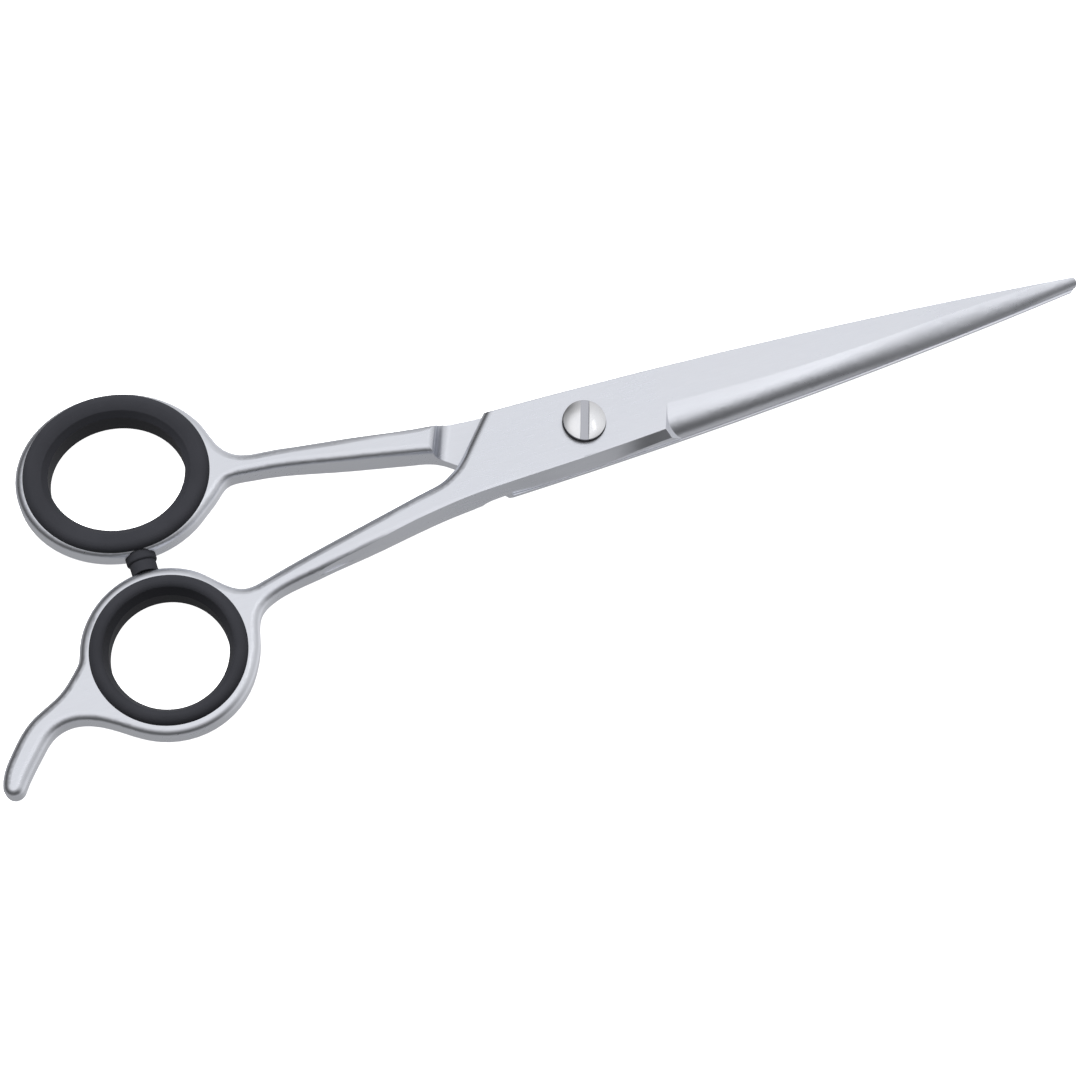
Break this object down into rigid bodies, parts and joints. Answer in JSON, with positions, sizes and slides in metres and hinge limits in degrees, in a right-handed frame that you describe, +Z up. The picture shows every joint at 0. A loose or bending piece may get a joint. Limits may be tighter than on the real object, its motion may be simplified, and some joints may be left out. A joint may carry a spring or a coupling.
{
  "type": "hair cutting shears",
  "caption": "Hair cutting shears: ground blades on a slotted tension screw, rubber-lined finger and thumb rings, curved finger rest and rubber closing stop.",
  "frame": {"origin": "on the pivot axis, in the flat underside that the closed shears lie on", "axes": "+X from the pivot to the blade tips, +Y towards the spine of the finger blade, +Z up along the pivot axis, out of the screw head. The blades are closed."},
  "size_m": [0.1917, 0.0596, 0.0083],
  "materials": {
    "satin_steel": "satin",
    "bright_screw": "polished",
    "black_nylon": "matte",
    "white_nylon": "matte",
    "black_rubber": "smooth matte"
  },
  "bodies": {
    "finger_half": {"finger_blade": "satin_steel", "finger_ring_insert": "black_rubber", "head_washer": "black_nylon"},
    "thumb_half": {"thumb_blade": "satin_steel", "thumb_ring_insert": "black_rubber", "bumper": "black_rubber", "thread_lock_insert": "white_nylon"},
    "tension_screw": {"pivot_screw": "bright_screw"}
  },
  "joints": [
    {"name": "blade_pivot", "type": "hinge", "parent": "finger_half", "child": "thumb_half", "pos_m": [0, 0, 0.00335], "axis": [0, 0, -1], "range_deg": [0, 140]},
    {"name": "screw_turn", "type": "hinge", "parent": "thumb_half", "child": "tension_screw", "pos_m": [0, 0, 0.00335], "axis": [0, 0, 1], "range_deg": [-30, 180]}
  ]
}
